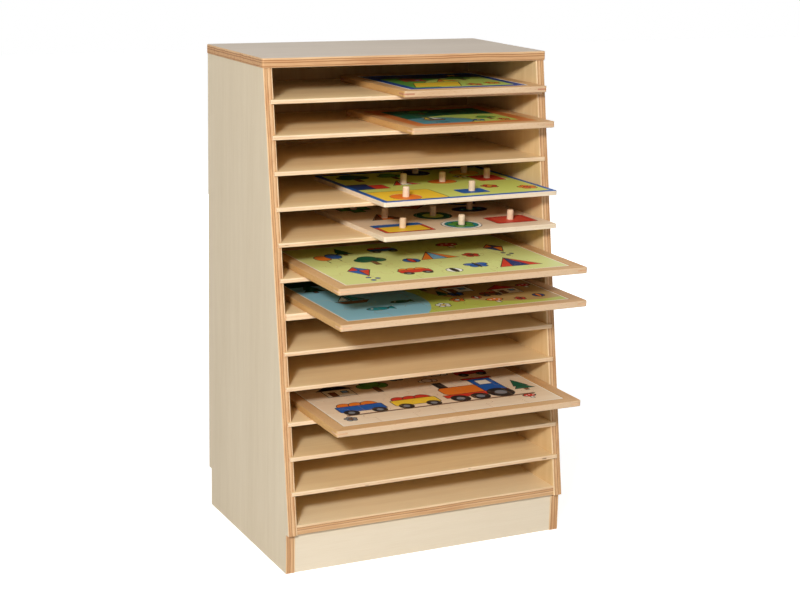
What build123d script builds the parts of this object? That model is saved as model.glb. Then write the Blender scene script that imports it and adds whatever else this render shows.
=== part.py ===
from build123d import *
from collections import namedtuple
import math
import os

# Birch plywood cabinet with a sloping front and shallow shelves, and the wooden puzzles that lie on them.
# The frame is +X to the right, -Y to the front and +Z up, with the floor at zero height.

# Boards
panel_thickness = 15.0
shelf_thickness = 6.5
fixed_shelf_thickness = 10.5
back_thickness = 4.0

# Compartments, numbered from the top; a shelf has the number of the compartment above it
upper_shelf_count = 6
lower_shelf_count = 5
slot_height = 46.6

# Puzzles
large_width = 424.0
large_depth = 300.0
small_width = 256.0
small_depth = 235.0
knob_board_width = 308.0
knob_board_depth = 260.0
side_play = 33.0
wall_gap = 0.6

# Cabinet outline
top_depth = 240.0
foot_depth = 352.0
plinth_height = 64.0
plinth_step = 10.0
skirting_step = 11.0
kick_setback = 1.0
top_overhang_side = 1.5
top_overhang_front = 2.0
top_overhang_rear = 1.0
panel_round = 1.5
top_corner_round = 3.0

# Joinery
housing_depth = 7.0
housing_play = 0.2
shelf_end_play = 0.3
shelf_rear_play = 0.3
shelf_proud = 5.0
fixed_shelf_proud = 4.0
shelf_round = 1.2
back_inset = 8.0
groove_depth = 5.0
groove_play = 0.2
dowel_diameter = 6.0
dowel_length = 30.0
dowel_setting = 9.0
dowel_play = 0.1
dowel_end_play = 0.5
dowel_shares = (0.2, 0.5, 0.8)
kick_dowel_shares = (0.3, 0.7)

# Frames of the jigsaw puzzles
rail_width = 20.0
frame_height = 10.0
frame_corner_round = 4.0
frame_round = 1.5
mitre_play = 0.1
rebate_width = 8.0
tray_base_thickness = 3.0
tray_base_play = 0.3
key_leg = 18.0
key_thickness = 2.5
key_play = 0.1
jigsaw_thickness = 6.4
jigsaw_play = 0.5
jigsaw_kerf = 0.4
tab_radius_share = 0.15
tab_offset_share = 0.09

# Knob puzzles
knob_backing_thickness = 3.0
knob_board_thickness = 4.5
knob_board_corner_round = 3.0
knob_board_round = 0.8
inlay_play = 0.4
inlay_corner_round = 4.0
inlay_ease = 0.4
knob_diameter = 10.5
knob_height = 16.0
knob_chamfer = 1.2
spigot_diameter = 6.0
spigot_length = 3.5
glue_line = 0.1
grid_inlay_size = 62.0
scene_inlay_size = 50.0
narrow_side_share = 0.72
cross_arm_share = 0.4

# How far a cutting tool runs past the face that it opens
overrun = 5.0

# Each puzzle: its compartment, outline, turn to the left in degrees and the room left behind it.
# Jigsaws add their columns and rows, knob boards their pieces' size and the table of their pieces.
Puzzle = namedtuple("Puzzle", "slot width depth turn rear_gap")
Jigsaw = namedtuple("Jigsaw", "puzzle columns rows")
KnobBoard = namedtuple("KnobBoard", "puzzle inlay_size inlay_shares")
gap_behind_first = 33.0
gap_behind_second = 61.0
gap_behind_fourth = 51.0
gap_behind_fifth = 54.0
gap_behind_sixth = 111.0
gap_behind_seventh = 114.0
gap_behind_tenth = 110.0
jigsaws = [
    Jigsaw(Puzzle(1, small_width, small_depth, 0.5, gap_behind_first), 3, 3),
    Jigsaw(Puzzle(2, small_width, small_depth, 1.2, gap_behind_second), 4, 3),
    Jigsaw(Puzzle(6, large_width, large_depth, -0.3, gap_behind_sixth), 6, 4),
    Jigsaw(Puzzle(7, large_width, large_depth, 0.3, gap_behind_seventh), 5, 4),
    Jigsaw(Puzzle(10, large_width, large_depth, -0.2, gap_behind_tenth), 6, 4),
]

# Kind of each lift-out piece, its place as shares of the board's width and depth from the board's front left,
# and its own size as a share of the board's size of piece
scene_inlay_shares = [
    ("circle", 0.175, 0.13, 1.0),
    ("oblong", 0.575, 0.175, 1.0),
    ("triangle", 0.345, 0.555, 1.0),
    ("ellipse", 0.565, 0.53, 1.0),
    ("square", 0.85, 0.56, 1.0),
    ("hexagon", 0.555, 0.875, 1.0),
    ("circle", 0.815, 0.785, 1.0),
]
grid_inlay_shares = [
    ("oblong", 0.195, 0.22, 1.4),
    ("circle", 0.52, 0.185, 1.05),
    ("oblong", 0.83, 0.225, 1.2),
    ("triangle", 0.23, 0.545, 1.0),
    ("hexagon", 0.495, 0.5, 1.0),
    ("ellipse", 0.77, 0.615, 1.0),
    ("cross", 0.18, 0.87, 0.9),
    ("diamond", 0.5, 0.85, 1.0),
    ("circle", 0.82, 0.865, 0.9),
]
scene_puzzle = Puzzle(4, knob_board_width, knob_board_depth, 0.8, gap_behind_fourth)
grid_puzzle = Puzzle(5, knob_board_width, knob_board_depth, 0.8, gap_behind_fifth)
knob_boards = [
    KnobBoard(scene_puzzle, scene_inlay_size, scene_inlay_shares),
    KnobBoard(grid_puzzle, grid_inlay_size, grid_inlay_shares),
]

# Counts, heights and widths that follow
shelf_count = upper_shelf_count + 1 + lower_shelf_count
fixed_shelf_number = upper_shelf_count + 1
inner_width = large_width + side_play
cabinet_width = inner_width + 2 * panel_thickness
pitch = slot_height + shelf_thickness
fixed_shelf_excess = fixed_shelf_thickness - shelf_thickness
bottom_panel_top = plinth_height + panel_thickness
top_underside = bottom_panel_top + slot_height + shelf_count * pitch + fixed_shelf_excess
back_reach = back_inset + back_thickness


def half_spans(puzzle):
    """Half the room that a turned puzzle takes across and along the cabinet."""
    turn = math.radians(puzzle.turn)
    across = puzzle.width / 2 * math.cos(turn) + puzzle.depth / 2 * abs(math.sin(turn))
    along = puzzle.width / 2 * abs(math.sin(turn)) + puzzle.depth / 2 * math.cos(turn)
    return across, along


# Depths, set so that the whole object stands centred over the origin
puzzles = [row.puzzle for row in jigsaws + knob_boards]
foremost_reach = back_reach + max(puzzle.rear_gap + 2 * half_spans(puzzle)[1] for puzzle in puzzles)
rear_y = (foremost_reach - top_overhang_rear) / 2
back_face_y = rear_y - back_reach
plinth_front_y = rear_y - foot_depth + plinth_step
shelf_rear_y = back_face_y - shelf_rear_play


def front_y(height):
    """The sides' sloping front edge at a height."""
    share = (height - plinth_height) / (top_underside - plinth_height)
    return rear_y - foot_depth - (top_depth - foot_depth) * share


def shelf_top(number):
    """The upper face of a shelf, where every compartment has the same clear height."""
    thicker_above = fixed_shelf_excess if number > fixed_shelf_number else 0
    return top_underside - slot_height - (number - 1) * pitch - thicker_above


def along_depth(front, rear, share):
    return front + (rear - front) * share


thin_shelves = [number for number in range(1, shelf_count + 1) if number != fixed_shelf_number]
fixed_shelf_middle = shelf_top(fixed_shelf_number) - fixed_shelf_thickness / 2
fixed_shelf_front_y = front_y(shelf_top(fixed_shelf_number)) - fixed_shelf_proud
bottom_front_y = front_y(bottom_panel_top)
kick_middle_y = plinth_front_y + kick_setback + panel_thickness / 2

# Dowel places: upright ones by depth, level ones by depth and height
dowel_bore_radius = dowel_diameter / 2 + dowel_play
shallow_bore = dowel_setting + dowel_end_play
deep_bore = dowel_length - dowel_setting + dowel_end_play
side_middle_x = (inner_width + panel_thickness) / 2
top_dowel_sites = [along_depth(front_y(top_underside), rear_y, share) for share in dowel_shares]
bottom_panel_middle = plinth_height + panel_thickness / 2
bottom_dowel_sites = [
    (along_depth(bottom_front_y, back_face_y, share), bottom_panel_middle) for share in dowel_shares
]
kick_dowel_sites = [(kick_middle_y, plinth_height * share) for share in kick_dowel_shares]
fixed_shelf_dowel_sites = [
    (along_depth(fixed_shelf_front_y, back_face_y, share), fixed_shelf_middle) for share in dowel_shares
]
level_dowel_sites = bottom_dowel_sites + kick_dowel_sites + fixed_shelf_dowel_sites

os.makedirs("parts", exist_ok=True)


def write(piece, name):
    piece.part.label = name
    export_step(piece.part, f"parts/{name}.step")


# Side panels
slope = Axis(
    origin=(0, rear_y - foot_depth, plinth_height),
    direction=(0, foot_depth - top_depth, top_underside - plinth_height),
)
for side, name in ((-1, "left_side_panel"), (1, "right_side_panel")):
    inner_x = side * inner_width / 2
    with BuildPart() as side_panel:
        with BuildSketch(Plane.YZ.offset(inner_x)):
            with BuildLine():
                Polyline(
                    (rear_y, top_underside),
                    (rear_y, plinth_height),
                    (rear_y - skirting_step, plinth_height),
                    (rear_y - skirting_step, 0),
                    (plinth_front_y, 0),
                    (plinth_front_y, plinth_height),
                    (rear_y - foot_depth, plinth_height),
                    (rear_y - top_depth, top_underside),
                    close=True,
                )
            make_face()
        extrude(amount=side * panel_thickness)
        fillet(side_panel.edges().filter_by(slope), radius=panel_round)
        # Housings for the thin shelves, open at the front
        for number in thin_shelves:
            with BuildSketch(Plane.XY.offset(shelf_top(number) - shelf_thickness)):
                with Locations((inner_x, (rear_y - foot_depth - overrun + back_face_y) / 2)):
                    Rectangle(2 * housing_depth, back_face_y - rear_y + foot_depth + overrun)
        extrude(amount=shelf_thickness + housing_play, mode=Mode.SUBTRACT)
        # Groove for the back panel
        with BuildSketch(Plane.XY.offset(plinth_height)):
            with Locations((inner_x, back_face_y + back_thickness / 2)):
                Rectangle(2 * groove_depth, back_thickness + groove_play)
        extrude(amount=top_underside - plinth_height, mode=Mode.SUBTRACT)
        # Dowel bores
        with BuildSketch(Plane.XY.offset(top_underside)):
            with Locations(*[(side * side_middle_x, y) for y in top_dowel_sites]):
                Circle(dowel_bore_radius)
        extrude(amount=-deep_bore, mode=Mode.SUBTRACT)
        with BuildSketch(Plane.YZ.offset(inner_x)):
            with Locations(*level_dowel_sites):
                Circle(dowel_bore_radius)
        extrude(amount=side * shallow_bore, mode=Mode.SUBTRACT)
    write(side_panel, name)

# Top panel, over the sides
top_front_y = rear_y - top_depth - top_overhang_front
top_rear_y = rear_y + top_overhang_rear
with BuildPart() as top_panel:
    with BuildSketch(Plane.XY.offset(top_underside)):
        with Locations((0, (top_front_y + top_rear_y) / 2)):
            top_width = cabinet_width + 2 * top_overhang_side
            RectangleRounded(top_width, top_rear_y - top_front_y, top_corner_round)
    extrude(amount=panel_thickness)
    edges_by_height = top_panel.edges().group_by(Axis.Z)
    fillet(edges_by_height[0] + edges_by_height[-1], radius=panel_round)
    with BuildSketch(Plane.XY.offset(top_underside)):
        with Locations((0, back_face_y + back_thickness / 2)):
            Rectangle(inner_width + 2 * groove_depth, back_thickness + groove_play)
    extrude(amount=groove_depth, mode=Mode.SUBTRACT)
    with BuildSketch(Plane.XY.offset(top_underside)):
        with Locations(*[(side * side_middle_x, y) for side in (-1, 1) for y in top_dowel_sites]):
            Circle(dowel_bore_radius)
    extrude(amount=shallow_bore, mode=Mode.SUBTRACT)
write(top_panel, "top_panel")

# Bottom panel, between the sides
with BuildPart() as bottom_panel:
    with BuildSketch(Plane.XY.offset(plinth_height)):
        with Locations((0, (bottom_front_y + back_face_y) / 2)):
            Rectangle(inner_width, back_face_y - bottom_front_y)
    extrude(amount=panel_thickness)
    fillet(bottom_panel.faces().sort_by(Axis.Y)[0].edges().filter_by(Axis.X), radius=panel_round)
    for side in (-1, 1):
        with BuildSketch(Plane.YZ.offset(side * inner_width / 2)):
            with Locations(*bottom_dowel_sites):
                Circle(dowel_bore_radius)
        extrude(amount=-side * deep_bore, mode=Mode.SUBTRACT)
write(bottom_panel, "bottom_panel")

# Kick board, on the floor under the bottom panel
with BuildPart() as kick_board:
    with BuildSketch(Plane.XY):
        with Locations((0, kick_middle_y)):
            Rectangle(inner_width, panel_thickness)
    extrude(amount=plinth_height)
    for side in (-1, 1):
        with BuildSketch(Plane.YZ.offset(side * inner_width / 2)):
            with Locations(*kick_dowel_sites):
                Circle(dowel_bore_radius)
        extrude(amount=-side * deep_bore, mode=Mode.SUBTRACT)
write(kick_board, "kick_board")

# Back panel, in the grooves of the sides and the top
with BuildPart() as back_panel:
    with BuildSketch(Plane.XY.offset(plinth_height)):
        with Locations((0, back_face_y + back_thickness / 2)):
            Rectangle(inner_width + 2 * (groove_depth - groove_play), back_thickness)
    extrude(amount=top_underside - plinth_height + groove_depth - groove_play)
write(back_panel, "back_panel")

# Thin shelves, in their housings
for number in thin_shelves:
    shelf_front_y = front_y(shelf_top(number)) - shelf_proud
    with BuildPart() as shelf:
        with BuildSketch(Plane.XY.offset(shelf_top(number) - shelf_thickness)):
            with Locations((0, (shelf_front_y + shelf_rear_y) / 2)):
                Rectangle(inner_width + 2 * (housing_depth - shelf_end_play), shelf_rear_y - shelf_front_y)
        extrude(amount=shelf_thickness)
        fillet(shelf.faces().sort_by(Axis.Y)[0].edges(), radius=shelf_round)
    write(shelf, f"shelf_{number:02d}")

# Fixed shelf, between the sides
with BuildPart() as fixed_shelf:
    with BuildSketch(Plane.XY.offset(shelf_top(fixed_shelf_number) - fixed_shelf_thickness)):
        with Locations((0, (fixed_shelf_front_y + shelf_rear_y) / 2)):
            Rectangle(inner_width, shelf_rear_y - fixed_shelf_front_y)
    extrude(amount=fixed_shelf_thickness)
    fillet(fixed_shelf.faces().sort_by(Axis.Y)[0].edges().filter_by(Axis.X), radius=shelf_round)
    for side in (-1, 1):
        with BuildSketch(Plane.YZ.offset(side * inner_width / 2)):
            with Locations(*fixed_shelf_dowel_sites):
                Circle(dowel_bore_radius)
        extrude(amount=-side * deep_bore, mode=Mode.SUBTRACT)
write(fixed_shelf, f"shelf_{fixed_shelf_number:02d}_fixed")

# Dowels, half hidden in each of the two boards that they join
with BuildPart() as dowels:
    with BuildSketch(Plane.XY.offset(top_underside + dowel_setting - dowel_length)):
        with Locations(*[(side * side_middle_x, y) for side in (-1, 1) for y in top_dowel_sites]):
            Circle(dowel_diameter / 2)
    for side in (-1, 1):
        dowel_outer_x = inner_width / 2 + dowel_setting
        with BuildSketch(Plane.YZ.offset(dowel_outer_x - dowel_length if side > 0 else -dowel_outer_x)):
            with Locations(*level_dowel_sites):
                Circle(dowel_diameter / 2)
    extrude(amount=dowel_length)
write(dowels, "dowels")


def resting_plane(puzzle):
    """The plane under a puzzle, with its origin at the middle of the puzzle's underside."""
    across, along = half_spans(puzzle)
    turn = math.radians(puzzle.turn)
    middle_x = inner_width / 2 - wall_gap - across
    middle_y = back_face_y - puzzle.rear_gap - along
    return Plane(
        origin=(middle_x, middle_y, shelf_top(puzzle.slot)),
        x_dir=(math.cos(turn), math.sin(turn), 0),
        z_dir=(0, 0, 1),
    )


def key_outlines(half_width, half_depth, leg):
    """Triangles in the corners of a frame, with their right angles outside."""
    outlines = []
    for across in (-1, 1):
        for along in (-1, 1):
            corner = (across * half_width, along * half_depth)
            beside = (across * (half_width - leg), along * half_depth)
            before = (across * half_width, along * (half_depth - leg))
            outlines.append([corner, beside, before])
    return outlines


# Framed jigsaw puzzles
key_level = (frame_height - key_thickness) / 2
mitre_length = math.sqrt(2) * rail_width + 2 * overrun
for puzzle, columns, rows in jigsaws:
    under = resting_plane(puzzle)
    half_width = puzzle.width / 2
    half_depth = puzzle.depth / 2
    opening_width = puzzle.width - 2 * rail_width
    opening_depth = puzzle.depth - 2 * rail_width
    prefix = f"puzzle_{puzzle.slot:02d}"

    with BuildPart() as frame:
        with BuildSketch(under):
            RectangleRounded(puzzle.width, puzzle.depth, frame_corner_round)
            Rectangle(opening_width, opening_depth, mode=Mode.SUBTRACT)
        extrude(amount=frame_height)
        edges_by_height = frame.edges().group_by(Axis.Z)
        fillet(edges_by_height[0] + edges_by_height[-1], radius=frame_round)
        # Mitre joints, which part the ring into four rails
        with BuildSketch(under):
            for across in (-1, 1):
                for along in (-1, 1):
                    mitre_x = across * (half_width - rail_width / 2)
                    mitre_y = along * (half_depth - rail_width / 2)
                    with Locations((mitre_x, mitre_y)):
                        Rectangle(mitre_length, mitre_play, rotation=across * along * 45)
        extrude(amount=frame_height, mode=Mode.SUBTRACT)
        # Rebate for the base board
        with BuildSketch(under):
            Rectangle(opening_width + 2 * rebate_width, opening_depth + 2 * rebate_width)
        extrude(amount=tray_base_thickness, mode=Mode.SUBTRACT)
        # Saw cuts for the corner keys
        for outline in key_outlines(half_width, half_depth, key_leg + key_play):
            with BuildSketch(under.offset(key_level)):
                with BuildLine():
                    Polyline(*outline, close=True)
                make_face()
        extrude(amount=key_thickness + key_play, mode=Mode.SUBTRACT)
    write(frame, f"{prefix}_frame")

    with BuildPart() as corner_keys:
        for outline in key_outlines(half_width, half_depth, key_leg):
            with BuildSketch(under.offset(key_level)):
                with BuildLine():
                    Polyline(*outline, close=True)
                make_face()
        extrude(amount=key_thickness)
        with BuildSketch(under):
            RectangleRounded(puzzle.width, puzzle.depth, frame_corner_round)
        extrude(amount=frame_height, mode=Mode.INTERSECT)
    write(corner_keys, f"{prefix}_corner_keys")

    with BuildPart() as tray_base:
        with BuildSketch(under):
            room = 2 * (rebate_width - tray_base_play)
            Rectangle(opening_width + room, opening_depth + room)
        extrude(amount=tray_base_thickness)
    write(tray_base, f"{prefix}_base")

    # Interlocking pieces: each joint between two neighbours has one round tab
    cell_width = (opening_width - 2 * jigsaw_play) / columns
    cell_depth = (opening_depth - 2 * jigsaw_play) / rows
    tab_radius = tab_radius_share * min(cell_width, cell_depth)
    tab_offset = tab_offset_share * min(cell_width, cell_depth)
    with BuildPart() as jigsaw:
        for column in range(columns):
            for row in range(rows):
                x = (column - (columns - 1) / 2) * cell_width
                y = (row - (rows - 1) / 2) * cell_depth
                sense = 1 if (column + row) % 2 else -1
                right_joint = x + cell_width / 2 + sense * tab_offset
                left_joint = x - cell_width / 2 - sense * tab_offset
                rear_joint = y + cell_depth / 2 - sense * tab_offset
                front_joint = y - cell_depth / 2 + sense * tab_offset
                level_joints = [(right_joint, y)] * (column < columns - 1) + [(left_joint, y)] * (column > 0)
                cross_joints = [(x, rear_joint)] * (row < rows - 1) + [(x, front_joint)] * (row > 0)
                tabs, sockets = (level_joints, cross_joints) if sense > 0 else (cross_joints, level_joints)
                with BuildSketch(under.offset(tray_base_thickness)):
                    with Locations((x, y)):
                        Rectangle(cell_width - jigsaw_kerf, cell_depth - jigsaw_kerf)
                    with Locations(*tabs):
                        Circle(tab_radius - jigsaw_kerf / 2)
                    with Locations(*sockets):
                        Circle(tab_radius + jigsaw_kerf / 2, mode=Mode.SUBTRACT)
        extrude(amount=jigsaw_thickness)
    write(jigsaw, f"{prefix}_jigsaw")


def inlay_outline(kind, size, play):
    """Draws a lift-out piece at the place in force, with play all round for its cut-out."""
    length = size + 2 * play
    breadth = size * narrow_side_share + 2 * play
    arm = size * cross_arm_share + 2 * play
    if kind == "circle":
        Circle(length / 2)
    elif kind == "ellipse":
        Ellipse(length / 2, breadth / 2)
    elif kind == "square":
        RectangleRounded(length, length, inlay_corner_round + play)
    elif kind == "oblong":
        RectangleRounded(length, breadth, inlay_corner_round + play)
    elif kind == "triangle":
        RegularPolygon(size / 4 + play, 3, major_radius=False, rotation=90)
    elif kind == "hexagon":
        RegularPolygon(size * math.sqrt(3) / 4 + play, 6, major_radius=False)
    elif kind == "diamond":
        side = size / math.sqrt(2) + 2 * play
        Rectangle(side, side, rotation=45)
    elif kind == "cross":
        Rectangle(length, arm)
        Rectangle(arm, length)


# Knob puzzles
for puzzle, inlay_size, inlay_shares in knob_boards:
    under = resting_plane(puzzle)
    prefix = f"puzzle_{puzzle.slot:02d}"
    inlays = []
    for kind, across, along, scale in inlay_shares:
        place = (puzzle.width * (across - 1 / 2), puzzle.depth * (along - 1 / 2))
        inlays.append((kind, place, inlay_size * scale))

    with BuildPart() as backing:
        with BuildSketch(under):
            RectangleRounded(puzzle.width, puzzle.depth, knob_board_corner_round)
        extrude(amount=knob_backing_thickness)
    write(backing, f"{prefix}_backing")

    with BuildPart() as face_board:
        with BuildSketch(under.offset(knob_backing_thickness)):
            RectangleRounded(puzzle.width, puzzle.depth, knob_board_corner_round)
        extrude(amount=knob_board_thickness)
        fillet(face_board.edges().group_by(Axis.Z)[-1], radius=knob_board_round)
        for kind, place, size in inlays:
            with BuildSketch(under.offset(knob_backing_thickness - overrun)):
                with Locations(place):
                    inlay_outline(kind, size, inlay_play)
        extrude(amount=knob_board_thickness + 2 * overrun, mode=Mode.SUBTRACT)
    write(face_board, f"{prefix}_board")

    # Each lift-out piece with its turned knob, whose spigot is glued into it
    inlay_top = knob_backing_thickness + knob_board_thickness
    for index, (kind, place, size) in enumerate(inlays, 1):
        with BuildPart() as piece:
            with BuildSketch(under.offset(knob_backing_thickness)):
                with Locations(place):
                    inlay_outline(kind, size, 0)
            extrude(amount=knob_board_thickness)
            chamfer(piece.edges().group_by(Axis.Z)[-1], length=inlay_ease)
            with BuildSketch(under.offset(inlay_top)):
                with Locations(place):
                    Circle(spigot_diameter / 2 + glue_line)
            extrude(amount=-spigot_length, mode=Mode.SUBTRACT)
            with BuildSketch(under.offset(inlay_top + glue_line)):
                with Locations(place):
                    Circle(knob_diameter / 2)
            extrude(amount=knob_height)
            chamfer(piece.edges().group_by(Axis.Z)[-1], length=knob_chamfer)
            with BuildSketch(under.offset(inlay_top + glue_line)):
                with Locations(place):
                    Circle(spigot_diameter / 2)
            extrude(amount=-spigot_length)
        write(piece, f"{prefix}_piece_{index}")
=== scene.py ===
import math
from collections import namedtuple

import bpy
from mathutils import Matrix, Vector


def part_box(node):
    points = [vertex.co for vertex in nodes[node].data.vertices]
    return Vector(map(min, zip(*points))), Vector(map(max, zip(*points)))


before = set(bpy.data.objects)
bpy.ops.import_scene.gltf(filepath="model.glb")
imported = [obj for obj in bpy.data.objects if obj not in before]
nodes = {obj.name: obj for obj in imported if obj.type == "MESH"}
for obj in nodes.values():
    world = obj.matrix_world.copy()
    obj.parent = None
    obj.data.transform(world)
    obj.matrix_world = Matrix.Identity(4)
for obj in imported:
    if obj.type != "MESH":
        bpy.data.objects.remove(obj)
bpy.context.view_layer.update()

# A plywood cabinet with wooden puzzles on its shelves. Lengths are metres, and a picture's are millimetres.

rear_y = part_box("left_side_panel")[1].y
millimetre = 0.001
ACROSS_X, ACROSS_Y, UPRIGHT = 0, 1, 2

# Camera
camera_azimuth = math.radians(-26.172)
camera_elevation = math.radians(12.979)
camera_roll = math.radians(1.186)
camera_distance = 2.7333
camera_lens = 75.993
camera_shift_x = 0.0125
camera_shift_y = -0.025
camera_aim = Vector((-0.0055, rear_y - 0.2, 0.4145))

# Light
world_strength = 0.12
key_power = 100.0
key_size = 0.36
key_place = Vector((-1.9, -2.55, 1.78))
ceiling_power = 27.0
ceiling_size = 3.0
ceiling_place = Vector((0.0, -0.9, 2.9))
rear_power = 31.0
rear_size = 0.8
rear_place = Vector((0.9, 3.0, 0.45))
side_power = 30.0
side_size = 0.8
side_place = Vector((2.6, 1.6, 0.45))
light_aim = Vector((0.0, -0.1, 0.42))
floor_half = 8.0
floor_colour = (0.72, 0.72, 0.72, 1.0)
near_glow = 0.62
far_glow = 0.85
glow_start = 0.6
glow_end = 2.5

# Puzzles, by compartment
Puzzle = namedtuple("Puzzle", "slot width depth turn seat")
puzzles = {
    1: Puzzle(1, 256.0, 235.0, 0.5, "puzzle_01_frame"),
    2: Puzzle(2, 256.0, 235.0, 1.2, "puzzle_02_frame"),
    4: Puzzle(4, 308.0, 260.0, 0.8, "puzzle_04_backing"),
    5: Puzzle(5, 308.0, 260.0, 0.8, "puzzle_05_backing"),
    6: Puzzle(6, 424.0, 300.0, -0.3, "puzzle_06_frame"),
    7: Puzzle(7, 424.0, 300.0, 0.3, "puzzle_07_frame"),
    10: Puzzle(10, 424.0, 300.0, -0.2, "puzzle_10_frame"),
}


def rgb(red, green, blue):
    """A colour as a shader wants it, from its values on a screen."""
    linear = []
    for value in (red / 255, green / 255, blue / 255):
        linear.append(value / 12.92 if value <= 0.04045 else ((value + 0.055) / 1.055) ** 2.4)
    return (*linear, 1.0)


class Finish:
    """A material in the making: its node tree, and short ways to add to it."""

    def __init__(self, name, roughness=0.5):
        self.material = bpy.data.materials.new(name)
        self.material.use_nodes = True
        self.tree = self.material.node_tree
        self.shader = self.tree.nodes["Principled BSDF"]
        self.shader.inputs["Roughness"].default_value = roughness
        self.place = self.add("ShaderNodeTexCoord").outputs["Object"]
        self.normal = self.add("ShaderNodeNewGeometry").outputs["Normal"]

    def add(self, kind, **settings):
        node = self.tree.nodes.new(kind)
        for key, value in settings.items():
            setattr(node, key, value)
        return node

    def feed(self, socket, value):
        if isinstance(value, bpy.types.NodeSocket):
            self.tree.links.new(value, socket)
        else:
            socket.default_value = value

    def math(self, operation, *values, clamp=False):
        node = self.add("ShaderNodeMath", operation=operation, use_clamp=clamp)
        for socket, value in zip(node.inputs, values):
            self.feed(socket, value)
        return node.outputs[0]

    def vector(self, operation, *values):
        node = self.add("ShaderNodeVectorMath", operation=operation)
        for socket, value in zip(node.inputs, values):
            self.feed(socket, value)
        return node.outputs["Value" if operation in ("LENGTH", "DOT_PRODUCT") else "Vector"]

    def split(self, vector):
        node = self.add("ShaderNodeSeparateXYZ")
        self.feed(node.inputs[0], vector)
        return node.outputs

    def noise(self, place, detail=2.0, roughness=0.5, distortion=0.0):
        node = self.add("ShaderNodeTexNoise")
        self.feed(node.inputs["Vector"], place)
        node.inputs["Scale"].default_value = 1.0
        node.inputs["Detail"].default_value = detail
        node.inputs["Roughness"].default_value = roughness
        node.inputs["Distortion"].default_value = distortion
        return node.outputs[0]

    def span(self, value, low, high, bottom=0.0, top=1.0):
        """A value brought from one range to another, and held within it."""
        node = self.add("ShaderNodeMapRange", clamp=True)
        for socket, given in zip(node.inputs, (value, low, high, bottom, top)):
            self.feed(socket, given)
        return node.outputs[0]

    def mix(self, factor, first, second, blend="MIX"):
        node = self.add("ShaderNodeMix", data_type="RGBA", blend_type=blend)
        self.feed(node.inputs[0], factor)
        self.feed(node.inputs[6], first)
        self.feed(node.inputs[7], second)
        return node.outputs[2]

    def bands(self, value, layers):
        """Colours side by side along a value, each from its own start."""
        node = self.add("ShaderNodeValToRGB")
        self.feed(node.inputs[0], value)
        node.color_ramp.interpolation = "CONSTANT"
        steps = node.color_ramp.elements
        steps.remove(steps[1])
        steps[0].color = layers[0][1]
        for start, colour in layers[1:]:
            steps.new(start).color = colour
        return node.outputs[0]

    def bump(self, height, strength, depth):
        node = self.add("ShaderNodeBump")
        node.inputs["Strength"].default_value = strength
        node.inputs["Distance"].default_value = depth
        self.feed(node.inputs["Height"], height)
        self.feed(self.shader.inputs["Normal"], node.outputs[0])

    def finish(self, colour, roughness=None):
        self.feed(self.shader.inputs["Base Color"], colour)
        if roughness is not None:
            self.feed(self.shader.inputs["Roughness"], roughness)
        return self.material


# Wood

def streaks(finish, place, axis, along, across, **settings):
    """Noise drawn out along an axis, with so many waves a metre along and across it."""
    scale = [across] * 3
    scale[axis] = along
    return finish.noise(finish.vector("MULTIPLY", place, tuple(scale)), **settings)


def birch(finish, place, axis, pale, dark):
    """The colour of a birch face and the height of its grain."""
    cloud = streaks(finish, place, axis, 1.6, 11.0, detail=2.0)
    flame = streaks(finish, place, axis, 4.0, 70.0, detail=3.0, distortion=0.6)
    fibre = streaks(finish, place, axis, 26.0, 1300.0, detail=2.0)
    figure = finish.math("MULTIPLY_ADD", cloud, 0.5, finish.math("MULTIPLY", flame, 0.5))
    colour = finish.mix(finish.span(figure, 0.36, 0.66), pale, dark)
    shade = finish.span(fibre, 0.45, 0.75, 0.0, 0.12)
    return finish.mix(shade, colour, dark, "MULTIPLY"), fibre


def plies(finish, place, grain_axis, layer_axis, first, second, layers, dark):
    """The colour of a cut edge: layers between two faces, with wavy joints and darker patches."""
    depth = finish.span(finish.split(place)[layer_axis], first, second)
    wave = streaks(finish, place, grain_axis, 12.0, 40.0, detail=2.0)
    ripple = finish.span(wave, 0.3, 0.7, -0.04, 0.04)
    colour = finish.bands(finish.math("ADD", depth, ripple), layers)
    patch = streaks(finish, place, grain_axis, 9.0, 150.0, detail=2.0)
    colour = finish.mix(finish.span(patch, 0.48, 0.72, 0.0, 0.4), colour, dark, "MULTIPLY")
    fibre = streaks(finish, place, grain_axis, 40.0, 1500.0, detail=1.0)
    return finish.mix(finish.span(fibre, 0.5, 0.7, 0.0, 0.2), colour, dark, "MULTIPLY")


def voids(finish, place, grain_axis, colour):
    """Short dark holes in an edge, here and there along it."""
    spot = streaks(finish, place, grain_axis, 55.0, 320.0, detail=0.0)
    return finish.mix(finish.span(spot, 0.82, 0.85, 0.0, 0.75), colour, void_tone)


def plywood(name, grain_axis, layer_axis, faces, tones, layers, second_tones=None, holes=False):
    """Plywood of one board: veneer on a first and a second face, whose places are given, and layers between.

    Tones are a face's pale and dark ones, and second_tones those of the second face where they differ.
    """
    finish = Finish(name)
    face_colour, fibre = birch(finish, finish.place, grain_axis, *tones)
    facing = finish.split(finish.normal)[layer_axis]
    if second_tones is not None:
        second_colour = birch(finish, finish.place, grain_axis, *second_tones)[0]
        towards = finish.math("MULTIPLY", facing, math.copysign(1.0, faces[1] - faces[0]))
        face_colour = finish.mix(finish.math("GREATER_THAN", towards, 0.0), face_colour, second_colour)
    edge_colour = plies(finish, finish.place, grain_axis, layer_axis, *faces, layers, edge_shade)
    if holes:
        edge_colour = voids(finish, finish.place, grain_axis, edge_colour)
    cut = finish.math("LESS_THAN", finish.math("ABSOLUTE", facing), edge_tilt)
    finish.bump(fibre, 0.12, 0.0004)
    finish.shader.inputs["Specular IOR Level"].default_value = wood_gloss
    uneven = finish.span(fibre, 0.3, 0.7, *plywood_roughness)
    return finish.finish(finish.mix(cut, face_colour, edge_colour), uneven)


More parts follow.
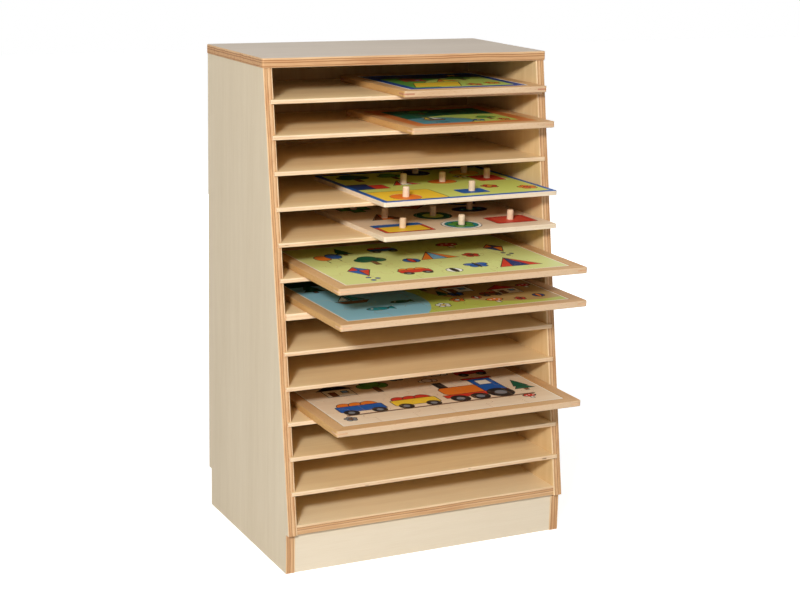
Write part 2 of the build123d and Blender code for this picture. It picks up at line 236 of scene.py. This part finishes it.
def dress(name, material):
    node = nodes[name]
    node.data.materials.clear()
    node.data.materials.append(material)


def thickness(name, axis):
    """The places of a board's two faces along an axis."""
    low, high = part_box(name)
    return low[axis], high[axis]


wood_gloss = 0.25
edge_tilt = 0.8
plywood_roughness = (0.52, 0.66)
frame_roughness = (0.5, 0.62)
beech_roughness = (0.45, 0.6)
side_face = (rgb(228, 212, 184), rgb(221, 204, 175))
inner_face = (rgb(234, 204, 154), rgb(222, 188, 136))
# The top's tones are darker and greyer than the side faces': painted shade, for the light that reaches the
# top at a low angle.
shaded_top_face = (rgb(214, 200, 183), rgb(208, 193, 176))
kick_face = (rgb(231, 217, 193), rgb(227, 212, 187))
shelf_face = (rgb(243, 216, 168), rgb(233, 202, 152))
# The bottom panel's tones are paler than the shelves': painted light of the lowest, best-lit compartment.
floor_face = (rgb(245, 222, 181), rgb(236, 210, 167))
back_face = (rgb(206, 168, 112), rgb(190, 150, 94))
void_tone = rgb(120, 84, 52)
edge_shade = rgb(204, 154, 110)
pale_ply = rgb(232, 202, 160)
tan_ply = rgb(208, 164, 118)
dark_ply = rgb(172, 122, 78)
light_ply = rgb(220, 182, 138)
side_layers = (
    (0.0, light_ply), (0.14, dark_ply), (0.2, tan_ply), (0.4, dark_ply), (0.47, light_ply),
    (0.66, tan_ply), (0.78, dark_ply), (0.84, pale_ply),
)
# The top panel's edge layers hold more dark bands than the others: painted shade on that edge.
shaded_top_layers = (
    (0.0, tan_ply), (0.12, dark_ply), (0.2, tan_ply), (0.48, dark_ply), (0.58, tan_ply),
    (0.7, dark_ply), (0.8, light_ply),
)
flat_layers = (
    (0.0, light_ply), (0.14, tan_ply), (0.36, light_ply), (0.5, dark_ply), (0.56, tan_ply),
    (0.74, dark_ply), (0.81, pale_ply),
)
shelf_layers = ((0.0, rgb(240, 212, 174)), (0.34, rgb(232, 200, 160)), (0.66, rgb(242, 216, 180)))
back_layers = ((0.0, light_ply), (0.33, tan_ply), (0.66, light_ply))

for name in ("left_side_panel", "right_side_panel"):
    outer_and_inner = sorted(thickness(name, ACROSS_X), key=abs, reverse=True)
    dress(name, plywood(name, UPRIGHT, ACROSS_X, outer_and_inner, side_face, side_layers, inner_face))
for name, tones, layers in (("top_panel", shaded_top_face, shaded_top_layers), ("bottom_panel", floor_face, flat_layers)):
    dress(name, plywood(name, ACROSS_X, UPRIGHT, thickness(name, UPRIGHT), tones, layers))
kick_faces = thickness("kick_board", ACROSS_Y)
dress("kick_board", plywood("kick_board", ACROSS_X, ACROSS_Y, kick_faces, kick_face, flat_layers))
back_faces = thickness("back_panel", ACROSS_Y)
dress("back_panel", plywood("back_panel", UPRIGHT, ACROSS_Y, back_faces, back_face, back_layers, side_face))
for name in nodes:
    if name.startswith("shelf_"):
        heights = thickness(name, UPRIGHT)
        dress(name, plywood(name, ACROSS_X, UPRIGHT, heights, shelf_face, shelf_layers, holes=True))


# Beech frames, keys and boards of the puzzles

def puzzle_place(finish, puzzle):
    """Places on a puzzle in metres: x along its front, y to its rear, zero at the middle of its outline."""
    low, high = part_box(puzzle.seat)
    middle = (low + high) / 2
    moved = finish.vector("SUBTRACT", finish.place, (middle.x, middle.y, low.z))
    turned = finish.add("ShaderNodeVectorRotate", rotation_type="Z_AXIS")
    finish.feed(turned.inputs["Vector"], moved)
    turned.inputs["Angle"].default_value = -math.radians(puzzle.turn)
    return turned.outputs[0]


def beech(finish, place, pale, dark):
    """The colour of beech with its grain along X, and its flecks."""
    cloud = streaks(finish, place, ACROSS_X, 5.0, 60.0, detail=2.0)
    flecks = streaks(finish, place, ACROSS_X, 160.0, 1100.0, detail=1.0)
    colour = finish.mix(finish.span(cloud, 0.3, 0.7), pale, dark)
    return finish.mix(finish.span(flecks, 0.6, 0.72, 0.0, 0.35), colour, dark, "MULTIPLY"), flecks


def frame_beech(name, puzzle):
    """Four rails with the grain along each, so that it turns at the mitres."""
    finish = Finish(name)
    place = puzzle_place(finish, puzzle)
    x, y, z = finish.split(place)
    past_side = finish.math("SUBTRACT", finish.math("ABSOLUTE", x), puzzle.width / 2 * millimetre)
    past_front = finish.math("SUBTRACT", finish.math("ABSOLUTE", y), puzzle.depth / 2 * millimetre)
    side_rail = finish.math("GREATER_THAN", past_side, past_front)
    swapped = finish.add("ShaderNodeCombineXYZ")
    for socket, value in zip(swapped.inputs, (y, x, z)):
        finish.feed(socket, value)
    along = finish.add("ShaderNodeMix", data_type="VECTOR")
    finish.feed(along.inputs[0], side_rail)
    finish.feed(along.inputs[4], place)
    finish.feed(along.inputs[5], swapped.outputs[0])
    colour, flecks = beech(finish, along.outputs[1], *beech_tones)
    facing = finish.split(finish.vector("ABSOLUTE", finish.normal))
    # Faces that don't face front or back are multiplied warmer and darker, and faces along X more so: painted
    # shade and warm bounce light, leaving the front faces paler.
    colour = finish.mix(finish.math("LESS_THAN", facing[ACROSS_Y], 0.5), colour, off_front_shade, "MULTIPLY")
    colour = finish.mix(finish.math("GREATER_THAN", facing[ACROSS_X], 0.5), colour, sideways_face_shade, "MULTIPLY")
    finish.bump(flecks, 0.08, 0.0003)
    finish.shader.inputs["Specular IOR Level"].default_value = wood_gloss
    return finish.finish(colour, finish.span(flecks, 0.3, 0.7, *frame_roughness))


def plain_beech(name, axis, tones):
    finish = Finish(name)
    turned = finish.add("ShaderNodeVectorRotate", rotation_type="AXIS_ANGLE")
    finish.feed(turned.inputs["Vector"], finish.place)
    turned.inputs["Axis"].default_value = (0.0, 1.0, 0.0) if axis == UPRIGHT else (0.0, 0.0, 1.0)
    turned.inputs["Angle"].default_value = 0.0 if axis == ACROSS_X else math.pi / 2
    colour, flecks = beech(finish, turned.outputs[0], *tones)
    finish.bump(flecks, 0.08, 0.0003)
    return finish.finish(colour, finish.span(flecks, 0.3, 0.7, *beech_roughness))


beech_tones = (rgb(219, 189, 154), rgb(206, 169, 129))
# Painted shade: multipliers that warm and darken a frame's faces that don't face front or back, and its faces
# along X more.
off_front_shade = rgb(250, 235, 208)
sideways_face_shade = rgb(244, 238, 214)
dark_key_tones = (rgb(196, 140, 108), rgb(176, 118, 86))
pale_key_tones = (rgb(226, 186, 148), rgb(206, 158, 116))
dowel_tones = (rgb(226, 192, 150), rgb(206, 166, 120))
knob_tones = (rgb(234, 210, 180), rgb(222, 192, 156))
base_tones = (rgb(214, 184, 144), rgb(196, 162, 118))

dress("dowels", plain_beech("dowel", ACROSS_X, dowel_tones))
dark_key = plain_beech("dark_corner_key", ACROSS_X, dark_key_tones)
pale_key = plain_beech("pale_corner_key", ACROSS_X, pale_key_tones)
base_finish = plain_beech("tray_base", ACROSS_X, base_tones)
for puzzle in puzzles.values():
    prefix = f"puzzle_{puzzle.slot:02d}"
    if puzzle.seat.endswith("frame"):
        dress(f"{prefix}_frame", frame_beech(f"{prefix}_frame", puzzle))
        dress(f"{prefix}_corner_keys", dark_key if puzzle.slot == 1 else pale_key)
        dress(f"{prefix}_base", base_finish)


# Pictures

ink = rgb(38, 32, 30)
white = rgb(246, 243, 234)
cream = rgb(244, 234, 212)
red = rgb(208, 56, 40)
orange = rgb(234, 124, 40)
yellow = rgb(244, 204, 58)
lime = rgb(196, 214, 104)
green = rgb(92, 158, 62)
fir_green = rgb(22, 92, 66)
teal = rgb(28, 138, 142)
sky = rgb(120, 174, 212)
blue = rgb(30, 92, 170)
navy = rgb(24, 50, 108)
brown = rgb(130, 84, 50)
grey = rgb(128, 130, 134)
russet = rgb(206, 120, 62)
deep_blue = rgb(20, 66, 148)
light_red = rgb(220, 84, 60)
meadow_green = rgb(217, 221, 142)
shore_green = rgb(198, 206, 92)
garden_green = rgb(213, 222, 116)
lake_water = rgb(148, 200, 214)
pond_water = rgb(84, 150, 164)
# Tan for a painted shadow on the lake picture.
painted_shadow_tan = rgb(196, 160, 98)
bare_birch = (rgb(244, 222, 192), rgb(232, 206, 172))

# Lines round the shapes in a picture, in millimetres
outline = 1.4
thin = 0.8


class Picture(Finish):
    """A printed picture, painted shape over shape in millimetres from the middle of its puzzle."""

    def __init__(self, name, puzzle, ground):
        super().__init__(name)
        self.spot = puzzle_place(self, puzzle)
        self.point = self.vector("MULTIPLY", self.spot, (1 / millimetre, 1 / millimetre, 0.0))
        self.colour = ground

    def paint(self, distance, colour, line=outline):
        """Fills where the distance is below zero, with an ink line round it."""
        if line:
            self.colour = self.mix(self.math("LESS_THAN", distance, line / 2), self.colour, ink)
        self.colour = self.mix(self.math("LESS_THAN", distance, -line / 2), self.colour, colour)

    def disc(self, x, y, radius, colour, line=outline):
        reach = self.vector("LENGTH", self.vector("SUBTRACT", self.point, (x, y, 0.0)))
        self.paint(self.math("SUBTRACT", reach, radius), colour, line)

    def oval(self, x, y, half_width, half_height, colour, line=outline):
        away = self.vector("SUBTRACT", self.point, (x, y, 0.0))
        scaled = self.vector("DIVIDE", away, (half_width, half_height, 1.0))
        past = self.math("SUBTRACT", self.vector("LENGTH", scaled), 1.0)
        self.paint(self.math("MULTIPLY", past, min(half_width, half_height)), colour, line)

    def block(self, x, y, width, height, colour, round=0.0, line=outline):
        near = self.vector("ABSOLUTE", self.vector("SUBTRACT", self.point, (x, y, 0.0)))
        past = self.vector("SUBTRACT", near, (width / 2 - round, height / 2 - round, 0.0))
        if round:
            past = self.vector("MAXIMUM", past, (0.0, 0.0, 0.0))
            self.paint(self.math("SUBTRACT", self.vector("LENGTH", past), round), colour, line)
        else:
            sides = self.split(past)
            self.paint(self.math("MAXIMUM", sides[0], sides[1]), colour, line)

    def shape(self, points, colour, line=outline):
        """A convex outline, given to the left all the way round."""
        distance = None
        for (x0, y0), (x1, y1) in zip(points, points[1:] + points[:1]):
            length = math.hypot(x1 - x0, y1 - y0)
            outward = ((y1 - y0) / length, (x0 - x1) / length, 0.0)
            reach = self.vector("DOT_PRODUCT", self.point, outward)
            past = self.math("SUBTRACT", reach, x0 * outward[0] + y0 * outward[1])
            distance = past if distance is None else self.math("MAXIMUM", distance, past)
        self.paint(distance, colour, line)

    def stroke(self, x0, y0, x1, y1, width, colour=ink, line=0.0):
        """A straight bar between two points."""
        length = math.hypot(x1 - x0, y1 - y0)
        aside_x, aside_y = (y0 - y1) / length * width / 2, (x1 - x0) / length * width / 2
        corners = [(x0 - aside_x, y0 - aside_y), (x1 - aside_x, y1 - aside_y)]
        corners += [(x1 + aside_x, y1 + aside_y), (x0 + aside_x, y0 + aside_y)]
        self.shape(corners, colour, line)

    def border(self, width, height, band, colour):
        """A band inside the picture's edge, painted over what is there."""
        near = self.vector("ABSOLUTE", self.point)
        sides = self.split(self.vector("SUBTRACT", (width / 2 - band, height / 2 - band, 0.0), near))
        self.paint(self.math("MINIMUM", sides[0], sides[1]), colour, 0.0)

    def printed(self, edge, top=None):
        """Ends the picture: print on what faces up, an edge tone elsewhere, and bare knobs above a height."""
        facing = self.math("GREATER_THAN", self.split(self.normal)[UPRIGHT], 0.5)
        edge_colour = beech(self, self.spot, *edge)[0]
        colour = self.mix(facing, edge_colour, self.colour)
        roughness = self.math("MULTIPLY_ADD", facing, print_roughness - edge_roughness, edge_roughness)
        if top is not None:
            above = self.math("GREATER_THAN", self.split(self.place)[UPRIGHT], top)
            drawn_out = self.vector("MULTIPLY", self.place, (1.0, 1.0, 0.3))
            knob_colour = beech(self, drawn_out, *knob_tones)[0]
            colour = self.mix(above, colour, knob_colour)
            roughness = self.math("MAXIMUM", roughness, self.math("MULTIPLY", above, knob_roughness))
        paper = self.noise(self.vector("MULTIPLY", self.place, (900.0, 900.0, 900.0)))
        self.bump(paper, 0.03, 0.0002)
        self.shader.inputs["Specular IOR Level"].default_value = print_gloss
        return self.finish(colour, roughness)


# Motifs

def ball(art, x, y, radius, first, second):
    art.disc(x, y, radius, first)
    art.oval(x, y, radius * 0.36, radius * 0.98, second)


def flower(art, x, y, radius, petals, heart):
    for number in range(5):
        angle = math.tau * number / 5 + math.pi / 2
        across, up = 0.58 * radius * math.cos(angle), 0.58 * radius * math.sin(angle)
        art.disc(x + across, y + up, 0.4 * radius, petals)
    art.disc(x, y, 0.34 * radius, heart)


def tree(art, x, y, size, crown):
    art.block(x, y - 0.3 * size, 0.14 * size, 0.4 * size, brown)
    for across, up, radius in ((-0.2, 0.05, 0.22), (0.2, 0.05, 0.22), (0.0, 0.22, 0.26)):
        art.disc(x + across * size, y + up * size, radius * size, crown)


def fir(art, x, y, size):
    art.block(x, y - 0.42 * size, 0.12 * size, 0.2 * size, brown)
    for low, high, half in ((-0.36, 0.1, 0.3), (-0.12, 0.46, 0.22)):
        reach, foot = half * size, y + low * size
        art.shape([(x - reach, foot), (x + reach, foot), (x, y + high * size)], fir_green)


def house(art, x, y, size, wall, roof):
    art.block(x, y - 0.16 * size, 0.7 * size, 0.5 * size, wall)
    reach, eaves = 0.46 * size, y + 0.08 * size
    art.shape([(x - reach, eaves), (x + reach, eaves), (x, y + 0.48 * size)], roof)
    art.block(x - 0.16 * size, y - 0.24 * size, 0.16 * size, 0.32 * size, brown)
    art.block(x + 0.16 * size, y - 0.12 * size, 0.16 * size, 0.16 * size, sky)


def boat(art, x, y, size, hull, sail, jib):
    art.shape(
        [
            (x - 0.28 * size, y - 0.42 * size),
            (x + 0.28 * size, y - 0.42 * size),
            (x + 0.46 * size, y - 0.18 * size),
            (x - 0.46 * size, y - 0.18 * size),
        ],
        hull,
    )
    art.stroke(x, y - 0.18 * size, x, y + 0.5 * size, 0.05 * size)
    gap, foot = 0.06 * size, y - 0.1 * size
    art.shape([(x + gap, foot), (x + 0.4 * size, foot), (x + gap, y + 0.46 * size)], sail)
    art.shape([(x - 0.34 * size, foot), (x - gap, foot), (x - gap, y + 0.34 * size)], jib)


def kite(art, x, y, size, first, second):
    spar = y + 0.12 * size
    tip, top = (x, y - 0.5 * size), (x, y + 0.5 * size)
    left, right = (x - 0.3 * size, spar), (x + 0.3 * size, spar)
    art.shape([tip, right, top, left], first)
    art.shape([tip, right, (x, spar)], second)
    art.shape([left, (x, spar), top], second)
    for number in range(1, 4):
        art.disc(x + 0.09 * size * (-1) ** number, y - (0.5 + 0.15 * number) * size, 0.06 * size, first)


def wheel(art, x, y, radius):
    art.disc(x, y, radius, ink)
    art.disc(x, y, 0.45 * radius, grey, 0.0)


def wagon(art, x, y, size, body, load):
    for across in (-0.22, 0.0, 0.22):
        art.disc(x + across * size, y + 0.12 * size, 0.15 * size, load)
    art.block(x, y - 0.05 * size, 0.86 * size, 0.3 * size, body, 0.04 * size)
    wheel(art, x - 0.26 * size, y - 0.24 * size, 0.13 * size)
    wheel(art, x + 0.26 * size, y - 0.24 * size, 0.13 * size)


def engine(art, x, y, size, boiler, cab):
    art.block(x - 0.34 * size, y + 0.36 * size, 0.14 * size, 0.3 * size, ink)
    art.block(x - 0.12 * size, y + 0.08 * size, 0.7 * size, 0.34 * size, boiler, 0.1 * size)
    art.block(x + 0.34 * size, y + 0.2 * size, 0.36 * size, 0.62 * size, cab, 0.03 * size)
    art.block(x + 0.34 * size, y + 0.32 * size, 0.2 * size, 0.2 * size, cream)
    art.block(x + 0.34 * size, y + 0.53 * size, 0.48 * size, 0.07 * size, red)
    art.block(x, y - 0.16 * size, 1.06 * size, 0.14 * size, red)
    for across, radius in ((-0.34, 0.14), (-0.02, 0.14), (0.34, 0.2)):
        wheel(art, x + across * size, y - 0.42 * size + radius * size, radius * size)


def balloon(art, x, y, size, colour):
    art.stroke(x, y - 0.5 * size, x, y, 0.03 * size)
    art.oval(x, y + 0.16 * size, 0.24 * size, 0.32 * size, colour)


def tent(art, x, y, size, first, second):
    base, top = y - 0.4 * size, y + 0.4 * size
    art.shape([(x - 0.5 * size, base), (x + 0.5 * size, base), (x, top)], first)
    art.shape([(x - 0.2 * size, base), (x + 0.2 * size, base), (x, top)], second)


def butterfly(art, x, y, size, wings):
    for across in (-1, 1):
        art.oval(x + across * 0.26 * size, y + 0.14 * size, 0.24 * size, 0.2 * size, wings)
        art.oval(x + across * 0.2 * size, y - 0.18 * size, 0.17 * size, 0.16 * size, wings)
    art.oval(x, y, 0.06 * size, 0.34 * size, ink)


def fish(art, x, y, size, colour):
    tail, spread = x + 0.5 * size, 0.2 * size
    art.shape([(x + 0.2 * size, y), (tail, y - spread), (tail, y + spread)], colour)
    art.oval(x - 0.08 * size, y, 0.38 * size, 0.2 * size, colour)
    art.disc(x - 0.28 * size, y + 0.05 * size, 0.05 * size, white, 0.6)


def cloud(art, x, y, size, colour=white):
    for across, up, radius in ((-0.3, 0.0, 0.18), (0.3, 0.0, 0.2), (0.0, 0.08, 0.26)):
        art.disc(x + across * size, y + up * size, radius * size, colour)


def mushroom(art, x, y, size, cap):
    art.block(x, y - 0.2 * size, 0.22 * size, 0.5 * size, cream, 0.06 * size)
    art.oval(x, y + 0.12 * size, 0.42 * size, 0.26 * size, cap)
    for across, up in ((-0.2, 0.1), (0.05, 0.22), (0.22, 0.06)):
        art.disc(x + across * size, y + up * size, 0.06 * size, white, 0.0)


def sun(art, x, y, radius):
    for number in range(4):
        angle = math.pi * number / 4
        across, up = 1.6 * radius * math.cos(angle), 1.6 * radius * math.sin(angle)
        art.stroke(x - across, y - up, x + across, y + up, 0.18 * radius, orange)
    art.disc(x, y, radius, yellow)


# The pictures of the seven puzzles

large_picture = (383.0, 259.0)
small_picture = (215.0, 194.0)
board_picture = (308.0, 260.0)
margin = 2.5
wide_margin = 3.5
print_gloss = 0.15
print_roughness = 0.44
edge_roughness = 0.6
knob_roughness = 0.5
clear_of_board = 0.00005
print_edge = (rgb(206, 168, 122), rgb(176, 132, 86))
board_edge = (rgb(240, 224, 200), rgb(228, 206, 176))


def inlay_spots(slot):
    """The middles of a board's lift-out pieces, in millimetres from the middle of the board."""
    low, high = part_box(puzzles[slot].seat)
    straight = Matrix.Rotation(-math.radians(puzzles[slot].turn), 3, "Z")
    spots = []
    for name in sorted(name for name in nodes if name.startswith(f"puzzle_{slot:02d}_piece_")):
        piece_low, piece_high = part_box(name)
        spot = straight @ (piece_low + piece_high - low - high) / 2 / millimetre
        spots.append((spot.x, spot.y))
    return spots


def wood_ground(name, puzzle):
    """A picture printed on bare birch."""
    art = Picture(name, puzzle, white)
    art.colour = birch(art, art.spot, ACROSS_X, *bare_birch)[0]
    return art


def farm_picture():
    # The navy ground shows at the rear of the picture, behind the fields: painted shade of the top panel over
    # the picture's rear.
    art = Picture("picture_01", puzzles[1], navy)
    art.oval(-60.0, -60.0, 120.0, 110.0, green)
    art.oval(62.0, -50.0, 110.0, 90.0, lime)
    art.shape([(-84.0, -70.0), (-2.0, -70.0), (20.0, -18.0), (-62.0, -18.0)], yellow)
    house(art, -44.0, 26.0, 56.0, red, brown)
    tree(art, 44.0, 26.0, 52.0, green)
    tent(art, 8.0, 8.0, 44.0, orange, yellow)
    sun(art, 52.0, 66.0, 8.0)
    flower(art, 28.0, -58.0, 14.0, red, yellow)
    flower(art, 66.0, -48.0, 14.0, orange, yellow)
    art.border(*small_picture, 18.0, deep_blue)
    art.border(*small_picture, wide_margin, white)
    return art.printed(print_edge)


def pond_picture():
    # The dark green ground shows at the rear of the picture, behind the meadow: painted shade of the shelf
    # above over the picture's rear.
    art = Picture("picture_02", puzzles[2], fir_green)
    art.oval(30.0, -90.0, 150.0, 100.0, lime)
    art.oval(-50.0, -50.0, 64.0, 40.0, pond_water)
    boat(art, -44.0, -22.0, 46.0, brown, white, yellow)
    fir(art, 58.0, 34.0, 44.0)
    fir(art, 30.0, 40.0, 36.0)
    tree(art, 50.0, -34.0, 40.0, green)
    tree(art, -30.0, 50.0, 44.0, green)
    fish(art, -46.0, -62.0, 22.0, teal)
    flower(art, 22.0, -58.0, 11.0, blue, yellow)
    flower(art, 66.0, -62.0, 11.0, red, yellow)
    art.border(*small_picture, 22.0, russet)
    return art.printed(print_edge)


def meadow_picture():
    art = Picture("picture_06", puzzles[6], meadow_green)
    kite(art, -132.0, -52.0, 62.0, blue, red)
    wagon(art, -52.0, -74.0, 62.0, red, orange)
    ball(art, 8.0, -92.0, 13.0, white, ink)
    butterfly(art, 58.0, -72.0, 40.0, blue)
    tent(art, 122.0, -70.0, 74.0, red, navy)
    balloon(art, -150.0, 44.0, 54.0, orange)
    balloon(art, -128.0, 52.0, 54.0, blue)
    tree(art, -84.0, 14.0, 62.0, fir_green)
    ball(art, -24.0, -8.0, 14.0, blue, red)
    tent(art, 26.0, 16.0, 66.0, orange, sky)
    flower(art, 84.0, -4.0, 15.0, red, ink)
    kite(art, 146.0, 30.0, 58.0, navy, orange)
    wagon(art, -34.0, 82.0, 56.0, blue, red)
    mushroom(art, 84.0, 76.0, 44.0, red)
    fir(art, -104.0, 88.0, 50.0)
    art.border(*large_picture, margin, cream)
    return art.printed(print_edge)


def lake_picture():
    art = Picture("picture_07", puzzles[7], shore_green)
    # A tan oval over the right half: painted shadow of the puzzle above.
    art.oval(150.0, 10.0, 150.0, 122.0, painted_shadow_tan, 0.0)
    art.oval(-150.0, -30.0, 130.0, 140.0, lake_water, 0.0)
    art.block(0.0, 112.0, 380.0, 34.0, fir_green, 0.0, 0.0)
    for across in (-160.0, -122.0, -86.0):
        fir(art, across, 82.0, 58.0)
    boat(art, -132.0, -6.0, 62.0, brown, teal, white)
    fish(art, -112.0, -76.0, 46.0, teal)
    fish(art, -62.0, -48.0, 38.0, fir_green)
    flower(art, -12.0, -92.0, 13.0, white, yellow)
    flower(art, 24.0, -70.0, 13.0, orange, white)
    house(art, 56.0, 2.0, 66.0, white, orange)
    house(art, 128.0, -34.0, 62.0, cream, red)
    tree(art, 4.0, 30.0, 56.0, green)
    mushroom(art, 80.0, -92.0, 34.0, orange)
    butterfly(art, 40.0, -36.0, 28.0, blue)
    tree(art, 150.0, 50.0, 60.0, fir_green)
    house(art, 92.0, 66.0, 52.0, red, navy)
    wagon(art, 92.0, -52.0, 40.0, brown, red)
    ball(art, 60.0, -66.0, 8.0, red, white)
    ball(art, 160.0, -88.0, 10.0, navy, orange)
    fir(art, 20.0, -22.0, 34.0)
    flower(art, 122.0, -96.0, 10.0, red, ink)
    mushroom(art, 172.0, -22.0, 30.0, red)
    art.border(*large_picture, margin, cream)
    return art.printed(print_edge)


def train_picture():
    art = wood_ground("picture_10", puzzles[10])
    art.block(0.0, -84.0, 330.0, 4.0, brown, 1.0, thin)
    wagon(art, -128.0, -50.0, 92.0, blue, orange)
    wagon(art, -34.0, -50.0, 92.0, yellow, red)
    engine(art, 78.0, -36.0, 112.0, orange, blue)
    cloud(art, 34.0, 38.0, 34.0)
    cloud(art, 62.0, 66.0, 44.0)
    fir(art, 164.0, -34.0, 60.0)
    mushroom(art, 150.0, -96.0, 26.0, red)
    house(art, -128.0, 42.0, 70.0, cream, ink)
    tree(art, -62.0, 44.0, 64.0, green)
    wagon(art, 122.0, 62.0, 64.0, red, yellow)
    flower(art, -10.0, 72.0, 15.0, grey, brown)
    flower(art, -166.0, -100.0, 11.0, grey, brown)
    art.border(*large_picture, margin, cream)
    return art.printed(print_edge)


def garden_board():
    art = Picture("board_04", puzzles[4], garden_green)
    disc, oblong, roof, oval, square, hexagon, berry = inlay_spots(4)
    art.block(-92.0, -84.0, 112.0, 78.0, yellow, 8.0)
    art.block(-128.0, 4.0, 34.0, 46.0, navy, 2.0)
    art.block(-100.0, -2.0, 26.0, 34.0, red, 2.0)
    art.disc(*disc, 25.0, orange, thin)
    art.block(*oblong, 50.0, 36.0, blue, 4.0, thin)
    tent(art, roof[0], roof[1], 50.0, red, white)
    art.oval(*oval, 25.0, 18.0, orange, thin)
    art.block(*square, 50.0, 50.0, red, 4.0, thin)
    art.disc(*hexagon, 24.0, navy, thin)
    art.disc(*berry, 25.0, yellow, thin)
    tree(art, -104.0, 84.0, 66.0, fir_green)
    flower(art, 72.0, -56.0, 15.0, red, yellow)
    flower(art, 126.0, -84.0, 17.0, orange, red)
    flower(art, 72.0, 40.0, 13.0, white, yellow)
    tree(art, -36.0, 82.0, 54.0, green)
    art.border(*board_picture, 9.0, blue)
    return art


def shapes_board():
    art = wood_ground("board_05", puzzles[5])
    crate, wheel_spot, carton, roof, gem, oval, plus, lozenge, berry = inlay_spots(5)
    x, y = crate
    art.block(x, y, 86.8, 62.5, red, 4.0)
    art.block(x, y - 6.0, 74.0, 40.0, yellow, 2.0, thin)
    art.block(x, y + 22.0, 86.8, 18.0, blue, 3.0, thin)
    art.disc(*wheel_spot, 32.5, white)
    art.disc(*wheel_spot, 27.0, teal, thin)
    flower(art, *wheel_spot, 23.0, green, fir_green)
    art.block(*carton, 74.4, 53.6, red, 4.0)
    art.block(*carton, 56.0, 34.0, light_red, 4.0, 0.0)
    tent(art, *roof, 58.0, brown, orange)
    art.disc(*gem, 31.0, fir_green)
    art.disc(*gem, 18.0, lime, thin)
    art.oval(*oval, 31.0, 22.3, navy)
    fish(art, *oval, 44.0, teal)
    art.block(*plus, 55.8, 22.3, green, 0.0)
    art.block(*plus, 22.3, 55.8, green, 0.0)
    x, y = lozenge
    art.shape([(x, y - 31.0), (x + 31.0, y), (x, y + 31.0), (x - 31.0, y)], orange)
    art.disc(*berry, 27.9, blue)
    art.disc(*berry, 18.0, yellow, thin)
    return art


framed_pictures = {1: farm_picture, 2: pond_picture, 6: meadow_picture, 7: lake_picture, 10: train_picture}
for slot, make in framed_pictures.items():
    dress(f"puzzle_{slot:02d}_jigsaw", make())
for slot, make in ((4, garden_board), (5, shapes_board)):
    prefix = f"puzzle_{slot:02d}"
    board_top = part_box(f"{prefix}_board")[1].z
    board_finish = make().printed(board_edge, board_top + clear_of_board)
    dress(f"{prefix}_board", board_finish)
    dress(f"{prefix}_backing", plain_beech(f"{prefix}_backing", ACROSS_X, board_edge))
    for name in nodes:
        if name.startswith(f"{prefix}_piece_"):
            dress(name, board_finish)


# Stage

def plane_mesh(name, half):
    mesh = bpy.data.meshes.new(name)
    corners = [(-half, -half, 0.0), (half, -half, 0.0), (half, half, 0.0), (-half, half, 0.0)]
    mesh.from_pydata(corners, [], [(0, 1, 2, 3)])
    return mesh


def seen_as_background(tree):
    """One for what the camera, reflections and glass see, and zero for the light on the object."""
    path = tree.nodes.new("ShaderNodeLightPath")
    total = path.outputs["Is Camera Ray"]
    for kind in ("Is Glossy Ray", "Is Transmission Ray"):
        node = tree.nodes.new("ShaderNodeMath")
        node.operation = "MAXIMUM"
        tree.links.new(total, node.inputs[0])
        tree.links.new(path.outputs[kind], node.inputs[1])
        total = node.outputs[0]
    return total


def make_floor():
    """A pale floor that the eye and reflections see as white, whiter far away, with the shadow kept."""
    floor = bpy.data.objects.new("floor", plane_mesh("floor", floor_half))
    bpy.context.scene.collection.objects.link(floor)
    finish = Finish("floor", 0.9)
    seen = seen_as_background(finish.tree)
    distance = finish.vector("LENGTH", finish.place)
    strength = finish.span(distance, glow_start, glow_end, near_glow, far_glow)
    glow = finish.add("ShaderNodeEmission")
    finish.feed(glow.inputs["Strength"], finish.math("MULTIPLY", seen, strength))
    both = finish.add("ShaderNodeAddShader")
    finish.feed(both.inputs[0], finish.shader.outputs[0])
    finish.feed(both.inputs[1], glow.outputs[0])
    finish.feed(finish.tree.nodes["Material Output"].inputs["Surface"], both.outputs[0])
    floor.data.materials.append(finish.finish(floor_colour))


def make_light(name, place, size, power):
    lamp = bpy.data.lights.new(name, "AREA")
    lamp.shape = "SQUARE"
    lamp.size = size
    lamp.energy = power
    light = bpy.data.objects.new(name, lamp)
    bpy.context.scene.collection.objects.link(light)
    light.location = place
    light.rotation_euler = (light_aim - place).to_track_quat("-Z", "Y").to_euler()


def make_world():
    world = bpy.data.worlds.new("studio")
    world.use_nodes = True
    tree = world.node_tree
    strength = tree.nodes.new("ShaderNodeMapRange")
    tree.links.new(seen_as_background(tree), strength.inputs["Value"])
    strength.inputs["To Min"].default_value = world_strength
    strength.inputs["To Max"].default_value = 1.0
    tree.links.new(strength.outputs[0], tree.nodes["Background"].inputs["Strength"])
    tree.nodes["Background"].inputs["Color"].default_value = (1.0, 1.0, 1.0, 1.0)
    bpy.context.scene.world = world


def make_camera():
    data = bpy.data.cameras.new("camera")
    data.sensor_width = 36.0
    data.lens = camera_lens
    data.shift_x = camera_shift_x
    data.shift_y = camera_shift_y
    camera = bpy.data.objects.new("camera", data)
    bpy.context.scene.collection.objects.link(camera)
    level = math.cos(camera_elevation)
    across, along = math.sin(camera_azimuth) * level, -math.cos(camera_azimuth) * level
    back = Vector((across, along, math.sin(camera_elevation)))
    right = Vector((0.0, 0.0, 1.0)).cross(back).normalized()
    turn = Matrix((right, back.cross(right), back)).transposed() @ Matrix.Rotation(camera_roll, 3, "Z")
    camera.matrix_world = Matrix.Translation(camera_aim + back * camera_distance) @ turn.to_4x4()
    bpy.context.scene.camera = camera


make_floor()
make_light("key", key_place, key_size, key_power)
make_light("ceiling", ceiling_place, ceiling_size, ceiling_power)
make_light("rear", rear_place, rear_size, rear_power)
make_light("side", side_place, side_size, side_power)
make_world()
make_camera()
bpy.context.scene.view_settings.view_transform = "Standard"
